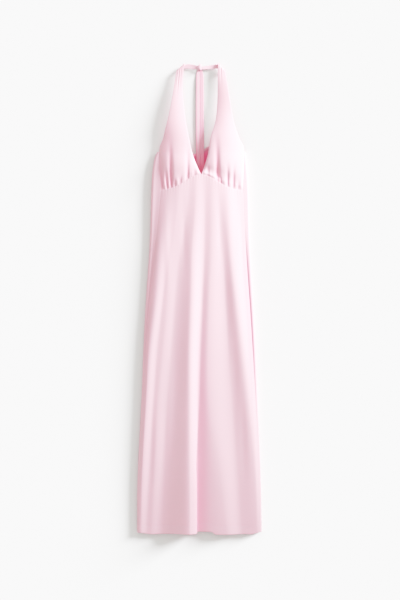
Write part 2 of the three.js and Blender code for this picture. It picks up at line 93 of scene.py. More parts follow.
# Flutes of the skirt front, each along its crest, with its rise and the widths of its two slopes. lean
# pushes the right slope over the next valley, and crisp steepens the left slope.
fluteColumns = "y crest rise left right lean crisp"
flutes = [
    tableOf(
        fluteColumns,
        (0, -35, 27, 104, 17, 13, 0.5),
        (150, -35, 24, 94, 18, 12, 0.6),
        (253, -36, 20, 82, 24, 6, 0.7),
        (406, -36, 16, 70, 32, 1, 0.8),
        (558, -35, 13.5, 60, 36, 0, 0.9),
        (711, -30, 10.5, 54, 37, 0, 0.9),
        (863, -26, 6.5, 40, 38, 0, 0.7),
        (985, -17, 2.8, 28, 30, 0, 0.5),
        (1095, -14, 1, 22, 22, 0, 0.3),
    ),
    tableOf(
        fluteColumns,
        (0, 76, 9, 84, 50, 0, -0.9),
        (200, 53, 8.6, 62, 61, 0, -0.9),
        (430, 24, 6.2, 36, 72, 0, -0.5),
        (711, 26, 4.6, 28, 50, 0, 0),
        (863, 33, 3.0, 27, 34, 0, 0),
        (1095, 34, 0.8, 22, 22, 0, 0),
    ),
    tableOf(
        fluteColumns,
        (0, 168, 2, 60, 22, 0, 0),
        (200, 160, 5.5, 62, 24, 0, 0),
        (430, 138, 8.5, 50, 34, 0, 0),
        (711, 106, 7.4, 35, 42, 0, 0),
        (863, 92, 4.0, 28, 40, 0, 0),
        (1095, 80, 0.6, 22, 22, 0, 0),
    ),
    tableOf(
        fluteColumns,
        (0, -147, 1.8, 22, 30, 0, 0),
        (253, -137, 2.4, 20, 30, 0, 0),
        (406, -128, 1.8, 20, 30, 0, 0),
        (711, -100, 1.4, 20, 28, 0, 0),
        (900, -92, 0, 20, 30, 0, 0),
    ),
    tableOf(
        fluteColumns,
        (0, -187, 1.5, 8, 20, 0, 0),
        (253, -176, 3.4, 13, 22, 0, 0),
        (406, -166, 4.4, 17, 24, 0, 0),
        (558, -156, 5, 22, 24, 0, 0),
        (711, -139, 5.4, 28, 26, 0, 0),
        (863, -126, 5, 29, 34, 0, 0),
        (985, -112, 2.4, 31, 34, 0, 0),
        (1095, -104, 0, 28, 26, 0, 0),
    ),
]
crestShape = {"round": 0.12, "power": 1.7}
fluteCalm = {"from": 2, "span": 12}  # the flutes rise over this strip inside each side

# The hem draws up in the deep valley beside the tallest flute, along that flute and at both ends
hemDraws = tableOf(
    "start full until end draw",
    (-17, -6, 30, 45, 8),
    (-150, -62, -17, -6, 4.5),
    (-300, -299, -190, -150, 4),
    (150, 182, 299, 300, 6),
)


def clamp(value):
    return min(1.0, max(0.0, value))


def ease(value):
    value = clamp(value)
    return value * value * (3 - 2 * value)


def mix(start, end, share):
    return start + (end - start) * share


def place(x, y, z):
    return Vector((x + centreShift["x"], y + centreShift["y"], z)) / 1000


# One column of a table as a smooth curve through its rows, along the key column, or by row without one
def curveThrough(table, column, key):
    spots = [row[key] if key else number for number, row in enumerate(table)]
    values = [row[column] for row in table]
    last = len(table) - 1
    slopes = []
    for row in range(last + 1):
        before, after = max(0, row - 1), min(last, row + 1)
        slopes.append((values[after] - values[before]) / (spots[after] - spots[before]))

    def at(spot):
        if spot <= spots[0]:
            return values[0]
        if spot >= spots[last]:
            return values[last]
        row = bisect.bisect_right(spots, spot) - 1
        span = spots[row + 1] - spots[row]
        t = (spot - spots[row]) / span
        start = values[row] * (1 + 2 * t) * (1 - t) ** 2
        end = values[row + 1] * t * t * (3 - 2 * t)
        return start + end + span * (slopes[row] * t * (1 - t) ** 2 - slopes[row + 1] * t * t * (1 - t))

    return at


def curvesOf(table, key="y"):
    return {column: curveThrough(table, column, key) for column in table[0] if column != key}


body = curvesOf(sections)
fluteCurves = [curvesOf(flute) for flute in flutes]


def fluteAt(flute, curves, x, y):
    top = flute[-1]
    if y > top["y"] and top["rise"] == 0:
        return 0.0, 0.0
    offset = x - curves["crest"](y)
    share = abs(offset) / curves["left" if offset < 0 else "right"](y)
    if share >= 1:
        return 0.0, 0.0
    crisp = curves["crisp"](y) if offset < 0 else 0
    blunt, power = crestShape["round"], crestShape["power"]
    peaked = max(0, 1 - math.hypot(share, blunt)) ** power / (1 - blunt) ** power
    full = math.cos(math.pi / 2 * share)
    slope = mix(0.5 + 0.5 * math.cos(math.pi * share), full if crisp < 0 else peaked, abs(crisp))
    lean = curves["lean"](y) * math.sin(math.pi * share) ** 2 if offset > 0 else 0
    return curves["rise"](y) * slope, lean


# Height of the upper layer's middle at x and y, and its lean
def upperLayer(x, y):
    inwards = max(0.0, min(x + body["left"](y), body["right"](y) - x))
    radius = body["side"](y) / 2
    turn = math.sqrt(1 - (1 - min(inwards, radius) / radius) ** 2)
    z = sideFoot + radius + radius * turn + body["loft"](y) * ease(inwards / body["ramp"](y))
    lean = 0.0
    calm = ease((inwards - fluteCalm["from"]) / fluteCalm["span"])
    for flute, curves in zip(flutes, fluteCurves):
        rise, push = fluteAt(flute, curves, x, y)
        z += rise * calm
        lean += push
    return z, lean


def sideSeam(side, y):
    reach, seam = ("left", "leftSeam") if side < 0 else ("right", "rightSeam")
    return side * (body[reach](y) - body[seam](y))


def seamLine(x):
    return seamSide + seamArch["rise"] * math.exp(-((x / seamArch["halfWidth"]) ** 2))


def backTop(x):
    lift = backLift["rise"] * math.exp(-(((x - backLift["x"]) / backLift["width"]) ** 2))
    return backTopSide - backScoop["drop"] * (1 - ease(abs(x) / backScoop["halfWidth"])) + lift


def hemLine(x):
    y = 0.0
    for d in hemDraws:
        start = ease((x - d["start"]) / (d["full"] - d["start"]))
        y += d["draw"] * start * ease((d["end"] - x) / (d["end"] - d["until"]))
    return y


creaseReach = 2.6  # widths from its line at which a crease has ended


# Soft troughs and ridges listed one by one, each along a line that fades out at both ends
def creaseHeight(creases, x, y):
    height = 0.0
    for crease in creases:
        dx, dy = crease["toX"] - crease["x"], crease["toY"] - crease["y"]
        long = math.hypot(dx, dy)
        along = ((x - crease["x"]) * dx + (y - crease["y"]) * dy) / long
        aside = ((x - crease["x"]) * dy - (y - crease["y"]) * dx) / long
        if 0 < along < long and abs(aside) < creaseReach * crease["width"]:
            fade = math.sin(math.pi * along / long) ** 2
            height += crease["height"] * fade * math.exp(-((aside / crease["width"]) ** 2))
    return height


# How far cloth rolls down into a seam, at a distance from it, and how much of that under the cups
seamRoll = {"depth": 0.3, "width": 1.2, "underCups": 0.4}
sideCalm = {"from": 820, "span": 120, "least": 0.25}  # the side seams roll less above here
sideRoll = {
    "depth": 1.9,
    "top": 960,
    "topFade": 180,
    "hem": 300,
    "hemFade": 300,
    "front": 4.0,
    "left": 8.5,
    "right": 3.2,
}


def rollDown(distance):
    return seamRoll["depth"] * math.exp(-((distance / seamRoll["width"]) ** 2))


def calmSide(y):
    return mix(1, sideCalm["least"], ease((y - sideCalm["from"]) / sideCalm["span"]))


def alongSides(y):
    overHem = ease((y - sideRoll["hem"]) / sideRoll["hemFade"])
    return overHem * ease((sideRoll["top"] - y) / sideRoll["topFade"])


# The side seams sink deeper at mid height. The front rolls into them evenly, the back broadly on the left
def sinkDown(distance, y, width):
    return sideRoll["depth"] * alongSides(y) * math.exp(-((distance / sideRoll[width]) ** 2))


# Painted shade: a deeper pink along the side seams, most of it on the right
seamShade = {-1: {"depth": 0.08, "width": 6}, 1: {"depth": 0.2, "width": 13}}


def paintedSeamShade(x, y):
    side = -1 if x < 0 else 1
    distance = (x - sideSeam(side, y)) / seamShade[side]["width"]
    return seamShade[side]["depth"] * alongSides(y) * math.exp(-distance * distance)


# Edge finishes, from the edge inwards: a turned and stitched edge, as inset and depth under the cloth,
# and a seam's allowance, as depth straight down
turnedEdge = [(0.0, 0.65), (0.3, 1.35), (6.5, 1.4)]
hemEdge = [(0.0, 0.65), (0.4, 1.35), (11, 1.4), (21, 1.4)]
seamAllowance = [1.0, 2.4, 4.2]
firstLevels = [0.0005, 0.0015, 0.004]  # rows of the grid just above a hem, as shares of the height

# Rows of stitches, by their distance from the edge, and how far they draw the cloth down
stitching = {
    "hem": (20, 23.5),
    "edge": 5.5,
    "dent": 0.3,
    "dentWidth": 2.4,
    "pitch": 3.0,
    "long": 1.2,
    "thick": 0.2,
    "steps": 560,
}


def hemDent(fromHem):
    middle = sum(stitching["hem"]) / 2
    return stitching["dent"] * math.exp(-(((fromHem - middle) / stitching["dentWidth"]) ** 2))


def outwardNormal(surface, across, along, step=0.002):
    acrossStep = surface(across + step, along) - surface(across - step, along)
    alongStep = surface(across, along + step) - surface(across, along - step)
    return acrossStep.cross(alongStep).normalized()


# Evenly spread shares of a width, with lead as the distances of the first and last ones from the edge
def sharesAcross(count, width, lead):
    near = [distance / width for distance in lead]
    inner = [mix(near[-1], 1 - near[-1], i / count) for i in range(1, count)]
    return near + inner + [1 - share for share in reversed(near)]


# A finish is built from nodes, and arithmetic on its values adds Math nodes
class Value:
    def __init__(self, finish, socket):
        self.finish, self.socket = finish, socket

    def math(self, operation, first, second=0.0):
        return self.finish.node("Math", {"operation": operation}, {0: first, 1: second})

    def __add__(self, other):
        return self.math("ADD", self, other)

    def __sub__(self, other):
        return self.math("SUBTRACT", self, other)

    def __mul__(self, other):
        return self.math("MULTIPLY", self, other)

    __radd__ = __add__

    def held(self):
        return self.finish.node("Clamp", {}, {0: self})

    def sine(self):
        return self.math("SINE", self)


class Finish:
    def __init__(self, name):
        self.material = bpy.data.materials.new(name)
        self.material.use_nodes = True
        self.tree = self.material.node_tree
        self.tree.nodes.clear()

    # One node of a type, with its settings first and then the values or links of its sockets
    def node(self, kind, settings, sockets, output=0):
        made = self.tree.nodes.new("ShaderNode" + kind)
        for name, value in settings.items():
            setattr(made, name, value)
        for name, value in sockets.items():
            if isinstance(value, Value):
                self.tree.links.new(value.socket, made.inputs[name])
            else:
                made.inputs[name].default_value = value
        return Value(self, made.outputs[output])

    def blend(self, factor, first, second):
        return self.node("Mix", {"data_type": "RGBA"}, {0: factor, 6: first, 7: second}, 2)

    def show(self, shader):
        output = self.tree.nodes.new("ShaderNodeOutputMaterial")
        self.tree.links.new(shader.socket, output.inputs["Surface"])
        return self.material


# A colour as a screen shows it, for a socket
def screen(red, green, blue):
    def linear(level):
        level /= 255
        return level / 12.92 if level <= 0.04045 else ((level + 0.055) / 1.055) ** 2.4

    return (linear(red), linear(green), linear(blue), 1.0)


jerseyLook = {
    "face": screen(250, 214, 226),
    "shadedPink": screen(252, 116, 168),
    "through": screen(252, 192, 198),
    "paintedGlow": screen(255, 78, 128),
    "paintedGlowStrength": 0.16,
    "paintedGlowGain": 1.4,
    "paintedGlowFrom": 0.4,
    "fleck": screen(214, 150, 172),
    "fleckShare": 0.06,
    "paler": 1.02,
    "insideShade": 0.35,
    "letsThrough": 0.25,
    "roughness": 0.72,
    "specular": 0.25,
    "sheen": 0.25,
    "sheenRoughness": 0.45,
    "sheenTint": screen(255, 235, 242),
    "walePitch": 0.0009,
    "coursePitch": 0.0007,
    "knitHeight": 0.00006,
    "knitBump": 0.35,
    "cloudScale": 9.0,
    "fleckScale": 900.0,
}


# Fine jersey: rows of knit loops that follow the cloth and a soft sheen. Painted shade: a deeper pink in
# hollows stands in for light that goes from fold to fold, and a faint painted glow in the deepest for that
# light
def jerseyFinish(name, shadeShare=0.0):
    look = jerseyLook
    finish = Finish(name)
    coordinates = finish.node("TexCoord", {}, {}, "UV")
    across = finish.node("SeparateXYZ", {}, {0: coordinates}, 0)
    along = finish.node("SeparateXYZ", {}, {0: coordinates}, 1)
    spot = finish.node("TexCoord", {}, {}, "Object")
    wales = (across * (math.tau / look["walePitch"])).sine()
    courses = (along * (math.tau / look["coursePitch"]) + wales * 0.9).sine()
    knit = wales * 0.6 + courses * 0.4
    cloudy = finish.node("TexNoise", {}, {"Vector": spot, "Scale": look["cloudScale"], "Detail": 3.0})
    flecks = finish.node("TexNoise", {}, {"Vector": spot, "Scale": look["fleckScale"], "Detail": 2.0})
    # The depth attribute holds painted shade, laid where folds, seams and gathers hollow the cloth
    depth = finish.node("Attribute", {"attribute_name": "depth"}, {}, 2)
    paler = tuple(min(1, look["paler"] * value) for value in look["face"][:3]) + (1.0,)
    shade = finish.blend((cloudy * 1.6 - 0.3).held(), look["face"], paler)
    # Painted shade: the colour turns a stronger pink where the depth attribute is high
    deep = finish.blend((depth + shadeShare).held(), shade, look["shadedPink"])
    # Painted light: the deepest hollows glow faintly by emission, standing in for light bounced between
    # folds
    paintedGlowShare = (depth * look["paintedGlowGain"] - look["paintedGlowFrom"]).held()
    paintedGlow = finish.blend(paintedGlowShare, (0, 0, 0, 1), look["paintedGlow"])
    uneven = (0.5 + knit * 0.12 + (flecks - 0.5) * 0.5).held() * look["fleckShare"]
    colour = finish.blend(uneven, deep, look["fleck"])
    bump = finish.node("Bump", {}, {
        "Strength": look["knitBump"],
        "Distance": look["knitHeight"],
        "Height": knit + flecks,
    })
    surface = finish.node("BsdfPrincipled", {}, {
        "Base Color": colour,
        "Roughness": (look["roughness"] + (flecks - 0.5) * 0.12).held(),
        "Specular IOR Level": look["specular"],
        "Sheen Weight": look["sheen"],
        "Sheen Roughness": look["sheenRoughness"],
        "Sheen Tint": look["sheenTint"],
        "Emission Color": paintedGlow,
        "Emission Strength": look["paintedGlowStrength"],
        "Normal": bump,
    })
    through = finish.node("BsdfTranslucent", {}, {"Color": look["through"], "Normal": bump})
    return finish.show(finish.node("MixShader", {}, {0: look["letsThrough"], 1: surface, 2: through}))


jersey = jerseyFinish("jersey")
# Painted shade: the inside of the cloth is a shaded copy of the jersey, a deeper pink all over
jerseyInsideShaded = jerseyFinish("jersey_inside_shaded", jerseyLook["insideShade"])


threadLook = {
    "light": screen(240, 222, 230),
    "dark": screen(228, 200, 211),
    "twistScale": 2400.0,
    "bump": 0.4,
    "height": 0.00005,
    "roughness": 0.5,
}


def threadFinish():
    look = threadLook
    finish = Finish("thread")
    spot = finish.node("TexCoord", {}, {}, "Object")
    twist = finish.node("TexNoise", {}, {"Vector": spot, "Scale": look["twistScale"], "Detail": 1.0})
    bump = finish.node("Bump", {}, {"Strength": look["bump"], "Distance": look["height"], "Height": twist})
    return finish.show(finish.node("BsdfPrincipled", {}, {
        "Base Color": finish.blend(twist, look["light"], look["dark"]),
        "Roughness": look["roughness"],
        "Normal": bump,
    }))


thread = threadFinish()
print("finishes made")


# A mesh as an object, with its finishes
def objectOf(name, mesh, finishes):
    data = bpy.data.meshes.new(name)
    mesh.to_mesh(data)
    mesh.free()
    for finish in finishes:
        data.materials.append(finish)
    made = bpy.data.objects.new(name, data)
    bpy.context.scene.collection.objects.link(made)
    return made


softening = {"share": 0.3, "segments": 2, "angle": 60}  # how the wall's edges are rounded


# Cloth is laid on a grid of columns and rows, and pointAt gives each crossing and its painted shade, kept
# as the depth attribute
def layCloth(name, columns, rows, pointAt, thickness=cloth, closed=False, finishes=(jersey, jerseyInsideShaded)):
    mesh = bmesh.new()
    bmesh.ops.create_grid(mesh, x_segments=len(columns) - 1, y_segments=len(rows) - 1, size=0.5)
    mesh.verts.ensure_lookup_table()
    paintedShadeLayer = mesh.verts.layers.float.new("depth")
    weave = mesh.loops.layers.uv.new("weave")
    wide = len(columns)
    points = []
    for vertex in mesh.verts:
        point, depth = pointAt(columns[vertex.index % wide], rows[vertex.index // wide])
        vertex.co = place(*point)
        vertex[paintedShadeLayer] = depth
        points.append(vertex.co.copy())
    middle = wide // 2
    lengths, rise = [], 0.0
    for row in range(len(rows)):
        line = points[row * wide:(row + 1) * wide]
        if row:
            rise += (line[middle] - points[(row - 1) * wide + middle]).length
        across = [0.0]
        for before, after in zip(line, line[1:]):
            across.append(across[-1] + (after - before).length)
        lengths += [(value - across[middle], rise) for value in across]
    for face in mesh.faces:
        for loop in face.loops:
            loop[weave].uv = lengths[loop.vert.index]
    if closed:
        bmesh.ops.remove_doubles(mesh, verts=mesh.verts, dist=0.00001)
        bmesh.ops.recalc_face_normals(mesh, faces=mesh.faces)
    piece = objectOf(name, mesh, finishes)
    piece.data.shade_smooth()
    wall = piece.modifiers.new("wall", "SOLIDIFY")
    wall.material_offset = 1
    wall.thickness = thickness / 1000
    wall.offset = 0
    soften = piece.modifiers.new("soften", "BEVEL")
    soften.width = softening["share"] * thickness / 1000
    soften.segments = softening["segments"]
    soften.profile = 0.5
    soften.material = -1
    soften.limit_method = "ANGLE"
    soften.angle_limit = math.radians(softening["angle"])
    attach(piece, "root")
    return piece


# A row of stitches along a track of share and height on a surface
def sewRow(mesh, surface, track, outward):
    long, thick = stitching["long"] / 1000, stitching["thick"] / 1000
    before, walked = surface(*track(0)), 0.0
    for step in range(1, stitching["steps"] + 1):
        spot = track(step / stitching["steps"])
        point = surface(*spot)
        walked += (point - before).length
        if walked >= stitching["pitch"]:
            walked -= stitching["pitch"]
            run = (point - before).normalized()
            normal = outwardNormal(surface, *spot) * outward
            lie = Matrix((run * long, normal.cross(run) * thick, normal * thick)).transposed().to_4x4()
            centre = Matrix.Translation(place(*(point + normal * cloth / 2)))
            bmesh.ops.create_icosphere(mesh, subdivisions=1, radius=1, matrix=centre @ lie)
        before = point


def sewRows(name, rows):
    mesh = bmesh.new()
    for surface, track, outward in rows:
        sewRow(mesh, surface, track, outward)
    bmesh.ops.recalc_face_normals(mesh, faces=mesh.faces)
    piece = objectOf(name, mesh, [thread])
    piece.data.shade_smooth()
    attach(piece, "root")
    return piece


# Columns of a panel, with a seam allowance that tucks down at both sides
def betweenSeams(shares):
    columns = [(0.0, tuck) for tuck in reversed(seamAllowance)] + [(share, 0) for share in shares]
    return columns + [(1.0, tuck) for tuck in seamAllowance]


# The track of a row of stitches across a panel, at a share of its height
def acrossPanel(span, up):
    return lambda share: (mix(*span, share), up)


# Skirt front, from one side seam to the other and from the hem to the seam under the cups
frontCut = {
    "columns": [(0.0, 0.37, 62), (0.37, 0.52, 60), (0.52, 1.0, 74)],  # from and to, and how many
    "inner": (0.014, 0.986),
    "edge": (0.0, 0.9, 2.0, 3.6),  # distances of the outermost columns from a side seam
    "edgeWidth": 330,
    "levels": 150,
    "levelSpan": (0.008, 0.985),
    "underSeam": (12, 8, 5, 3, 1.6, 0.7, 0),  # distances of the last rows from the seam
    "stitched": (0.012, 0.988),
    "widthAtHem": 0.445,
    "length": 1.12,
    "area": 0.41,
}
creaseColumns = "x y toX toY width height"
frontCreases = tableOf(
    creaseColumns,
    (-106, 1040, -100, 700, 9, 0.7),
    (-54, 1060, -50, 760, 9, -0.7),
    (52, 1052, 62, 780, 7, -0.7),
    (108, 1036, 120, 720, 8, 0.6),
    (-88, 620, -104, 180, 12, 0.8),
    (122, 520, 134, 90, 11, -0.8),
    (84, 760, 96, 330, 10, 0.6),
    (-142, 420, -156, 60, 9, -0.6),
)
pucker = {"pitch": 8.5, "drift": 13, "height": 0.22, "reach": 9}
# Painted shade: a deeper pink in the hollow beside the tallest flute
recessShade = {"x": 3, "width": 19, "top": 800, "fade": 480, "depth": 0.18}


def frontSurface(share, up):
    level = up * seamSide
    left = sideSeam(-1, level) + seamGap / 2
    right = sideSeam(1, level) - seamGap / 2
    x = mix(left, right, share)
    y = mix(hemLine(x), seamLine(x) - seamGap / 2, up)
    z, lean = upperLayer(x, y)
    below = seamLine(x) - y
    z += creaseHeight(frontCreases, x, y) - seamRoll["underCups"] * rollDown(below)
    z -= rollDown(min(x - left, right - x)) * calmSide(y)
    z -= sinkDown(min(x - left, right - x), y, "front") + hemDent(y - hemLine(x))
    wave = math.sin(math.tau * x / pucker["pitch"] + math.sin(x / pucker["drift"]))
    z += pucker["height"] * wave * math.exp(-below / pucker["reach"])
    return Vector((x + lean, y, z))


def frontPoint(column, row):
    share, sideTuck = column
    up, topTuck, turn = row
    point = frontSurface(share, up)
    if turn:
        point -= outwardNormal(frontSurface, share, up) * turn
    if sideTuck:
        point.x += math.copysign(cloth / 2, 0.5 - share)
    if topTuck:
        point.y -= cloth / 2
    point.z -= max(sideTuck, topTuck)
    # Painted shade: a deeper pink in the hollow beside the tallest flute and along the side seams
    offset = (point.x - recessShade["x"]) / recessShade["width"]
    depth = recessShade["depth"] * math.exp(-offset * offset) * ease((recessShade["top"] - point.y) / recessShade["fade"])
    return point, depth + paintedSeamShade(point.x, point.y)


def makeSkirtFront():
    cut = frontCut
    shares = []
    for start, end, count in cut["columns"]:
        shares += [mix(start, end, i / count) for i in range(count)]
    first, last = cut["inner"]
    edge = [distance / cut["edgeWidth"] for distance in cut["edge"]]
    inner = [share for share in shares if first < share < last]
    columns = betweenSeams(edge + inner + [1 - share for share in reversed(edge)])
    rows = [(inset / seamSide, 0, drop) for inset, drop in reversed(hemEdge)]
    levels = firstLevels + [mix(*cut["levelSpan"], i / cut["levels"]) for i in range(cut["levels"])]
    levels += [1 - distance / seamSide for distance in cut["underSeam"]]
    rows += [(level, 0, 0) for level in levels] + [(1.0, tuck, 0) for tuck in seamAllowance]
    piece = layCloth("skirt_front_cloth", columns, rows, frontPoint)
    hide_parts("skirt_front")
    hems = [(frontSurface, acrossPanel(cut["stitched"], y / seamSide), 1) for y in stitching["hem"]]
    return piece, sewRows("front_hem_stitches", hems)


# Back, which wraps round both sides and lies flat on the surface
backCut = {
    "side": 20,  # columns round each side
    "flat": 70,  # columns across the part that lies flat
    "levels": 120,
    "levelSpan": (0.008, 0.994),
    "lastLevels": [0.997, 0.9995],
    "creaseFade": 20,
    "stitched": (0.01, 0.99),
    "widthAtHem": 0.42,
    "length": 1.19,
    "area": 0.41,
}
# The deep pink shade at the foot of the neckline, which pales towards the back's top edge
neckHollow = {
    "x": 4,
    "width": 34,
    "from": 1085,
    "fade": 40,
    "depth": 0.74,
    "pale": 1146,
    "span": 30,
    "atEdge": 0.22,
}
backCreases = tableOf(
    creaseColumns,
    (-128, 1090, -84, 640, 10, 1.3),
    (-66, 980, -48, 420, 12, 1.1),
    (-8, 860, 6, 180, 13, 1.6),
    (58, 1060, 66, 560, 11, 1.2),
    (112, 900, 134, 240, 12, 1.4),
    (-118, 560, -144, 60, 12, 1.2),
    (62, 440, 84, 30, 11, 1.3),
)


def backSurface(share, up):
    level = up * backTopSide
    radius = body["side"](level) / 2
    x = z = 0.0
    sideShare = backCut["side"] / (2 * backCut["side"] + backCut["flat"])
    side = -1 if share < 0.5 else 1
    fromSeam = min(share, 1 - share) / sideShare
    reach = body["left" if side < 0 else "right"](level)
    seam = reach - abs(sideSeam(side, level)) - seamGap / 2
    onTop = max(0.0, seam - radius)
    startTurn = math.pi / 2 if onTop > 0 else math.acos(1 - seam / radius)
    path = onTop + radius * (startTurn + math.pi / 2)
    if fromSeam <= 1:
        along = path * fromSeam
        turn = startTurn - max(0.0, along - onTop) / radius
        x = side * (reach - radius + radius * math.cos(turn) - max(0.0, onTop - along))
        z = upperLayer(x, level)[0] if turn > 0 else sideFoot + radius + radius * math.sin(turn)
        z -= rollDown(along) * calmSide(level) + sinkDown(along, level, "left" if side < 0 else "right")
    else:
        left = -(body["left"](level) - radius)
        right = body["right"](level) - radius
        x = mix(left, right, (share - sideShare) / (1 - 2 * sideShare))
        fade = backCut["creaseFade"]
        crease = creaseHeight(backCreases, x, level) * ease((x - left) / fade)
        z = cloth / 2 + crease * ease((right - x) / fade)
    y = mix(hemLine(x), backTop(x), up)
    return Vector((x, y, z))


def backPoint(column, row):
    share, sideTuck = column
    up, turn = row
    point = backSurface(share, up)
    if turn:
        point += outwardNormal(backSurface, share, up) * turn
    if sideTuck:
        point.x -= math.copysign(cloth / 2, 0.5 - share)
    point.z -= sideTuck
    # Painted shade: the deep pink at the foot of the neckline, and the side seams' pink where the back
    # rounds up
    offset = (point.x - neckHollow["x"]) / neckHollow["width"]
    above = point.y - neckHollow["from"]
    depth = neckHollow["depth"] * math.exp(-offset * offset) * ease(above / neckHollow["fade"])
    depth *= mix(1, neckHollow["atEdge"], ease((point.y - neckHollow["pale"]) / neckHollow["span"]))
    return point, depth + paintedSeamShade(point.x, point.y) * ease((point.z - cloth) / body["side"](point.y))


def makeBack():
    cut = backCut
    count = 2 * cut["side"] + cut["flat"]
    columns = betweenSeams([i / count for i in range(count + 1)])
    rows = [(inset / backTopSide, drop) for inset, drop in reversed(hemEdge)]
    levels = firstLevels + [mix(*cut["levelSpan"], i / cut["levels"]) for i in range(cut["levels"] + 1)]
    rows += [(level, 0) for level in levels + cut["lastLevels"]]
    rows += [(1 - inset / backTopSide, drop) for inset, drop in turnedEdge]
    piece = layCloth("back_cloth", columns, rows, backPoint, finishes=(jerseyInsideShaded, jersey))
    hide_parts("back")
    heights = list(stitching["hem"]) + [backTopSide - stitching["edge"]]
    tracks = [(backSurface, acrossPanel(cut["stitched"], y / backTopSide), -1) for y in heights]
    return piece, sewRows("back_stitches", tracks)


# Cups with their straps. Ribs run from the seam up to the fold at the neck and back under it, with
# outer on the armhole side and inner on the neckline side; crown is how far the cloth swells between
ribColumns = "outerX outerY outerZ innerX innerY innerZ crown"
leftRibs = tableOf(
    ribColumns,
    (-122, 1043, 14, -0.6, 1092, 17, 0),
    (-125.5, 1101, 14, -13.7, 1121, 21, 12),
    (-126.5, 1160, 12, -26, 1153, 22.5, 11),
    (-116, 1199, 15, -38, 1205, 23.5, 7.5),
    (-103.7, 1247, 20.5, -47.3, 1257, 18.8, 4.4),
    (-91.5, 1302, 20.5, -53.4, 1308, 15.4, 2.5),
    (-83, 1351, 17, -56.4, 1351, 12.8, 1.6),
    (-77.4, 1392, 12.5, -54.6, 1400, 12.5, 1),
    (-75.4, 1404, 11.6, -51.6, 1426, 11.6, 0.5),
    (-74.7, 1407.6, 8.8, -50.3, 1429.4, 8.8, 0),
    (-71.6, 1404.4, 6, -48.6, 1425, 6, 0),
)
rightRibs = tableOf(
    ribColumns,
    (128, 1046, 14, 0.6, 1092, 17, 0),
    (129.5, 1101, 14, 10.7, 1119, 21.5, 12),
    (130.5, 1160, 12, 20.7, 1153, 23.5, 11.5),
    (116.5, 1199, 17, 30, 1205, 24, 8),
    (99.7, 1247, 20.5, 43.5, 1252, 20.8, 5),
    (89.4, 1302, 20.8, 49, 1305, 15.8, 2.5),
    (81.7, 1351, 17.2, 50.3, 1351, 13.2, 1.6),
    (75.4, 1392, 12.5, 50.8, 1400, 12.5, 1),
    (73.8, 1404, 11.6, 51.3, 1426, 11.6, 0.5),
    (73.2, 1407.6, 8.8, 50.6, 1429.4, 8.8, 0),
    (70.2, 1404.4, 6, 48.9, 1425, 6, 0),
)

# Gathers, as troughs that climb from the seam at foot and die out at head
gatherColumns = "foot head reach depth width"
leftGathers = tableOf(
    gatherColumns,
    (-118, -126, 130, 5, 5),
    (-102, -109, 75, 5.5, 4.2),
    (-90, -96, 165, 6, 5.2),
    (-78.5, -81, 32, 4.5, 3.6),
    (-63, -63, 34, 3.5, 4.2),
    (-41, -41, 125, 3.6, 5),
    (-20, -22, 30, 2.5, 4),
)
rightGathers = tableOf(
    gatherColumns,
    (20, 20, 44, 2.5, 4),
    (49.5, 47, 165, 5.4, 6.4),
    (60, 59, 30, 4.5, 3.6),
    (80, 80, 85, 4.5, 4.2),
    (96, 100, 90, 4, 4.2),
    (112, 114, 34, 2.5, 4),
)
cupCut = {
    "across": 104,
    "width": 110,
    "lead": (0.4, 1.2, 2.4, 4.0),
    "cup": 66,
    "crowding": 1.5,  # how much closer the rows lie towards the seam
    "strap": 22,
    "fold": 22,
    "crownPower": 0.8,
    "puff": 3.0,
    "puffRise": 0.26,
    "puffEnd": 3,
    "settle": 1.6,  # rib up to which the ribs bend along the seam
    "seamEnd": 0.9,  # rib from which the height is the ribs' own
    "edgeCalm": 0.06,
    "gatherStart": 0.45,
    "gatherFull": 16,
    "gatherSpread": 0.5,
    "gatherReach": 3,
    "fullShadeDepth": 15,
    "shadeEnd": 4,
    "flat": (0.16, 0.43),
    "area": 0.034,
}
sideEnd = 2  # rib where a cup leaves the side seam
sideFade = 0.3  # ribs over which its sewn edge turns into a stitched one
strapStart = 5  # rib where a cup has narrowed to its strap
foldStart = 7  # rib where the strap starts to fold over
foldUnder = 8.5  # rib past which it faces down
stitchedRibs = {"inner": 0.35, "outer": 2.2, "pastFold": 0.6}
pleatFade = 2  # ribs over which a pleat deepens
cupSeeds = {"left": 3, "right": 8}

# Fine gathers between the others, drawn at random within these ranges
fineGathers = {
    "count": 15,
    "span": (14, 120),
    "spot": (0.2, 0.8),
    "depth": 0.8,
    "vary": (0.6, 1.3),
    "reach": (12, 46),
    "width": (1.7, 2.4),
}


def gatherDepth(gathers, x, lift):
    depth = 0.0
    for g in gathers:
        climb = lift / g["reach"]
        if climb < 1:
            width = g["width"] * (1 + cupCut["gatherSpread"] * climb)
            offset = (x - mix(g["foot"], g["head"], clamp(climb))) / width
            if abs(offset) < cupCut["gatherReach"]:
                depth += g["depth"] * (1 - ease(climb)) * math.exp(-offset * offset)
    return depth * mix(cupCut["gatherStart"], 1, ease(lift / cupCut["gatherFull"]))


# Pleats where the top of a strap is drawn together at its fold, by share of the width
pleatColumns = "share depth width start"
leftPleats = tableOf(
    pleatColumns,
    (0.16, 0.7, 0.05, 5.8),
    (0.42, 1.3, 0.07, 5.2),
    (0.68, 1.1, 0.06, 5.6),
    (0.86, 0.6, 0.04, 6.2),
)
rightPleats = tableOf(
    pleatColumns,
    (0.3, 0.6, 0.06, 6.2),
    (0.62, 0.9, 0.08, 5.8),
)


def pleatDepth(pleats, share, station):
    depth = 0.0
    for p in pleats:
        offset = (share - p["share"]) / p["width"]
        depth += p["depth"] * ease((station - p["start"]) / pleatFade) * math.exp(-offset * offset)
    return depth


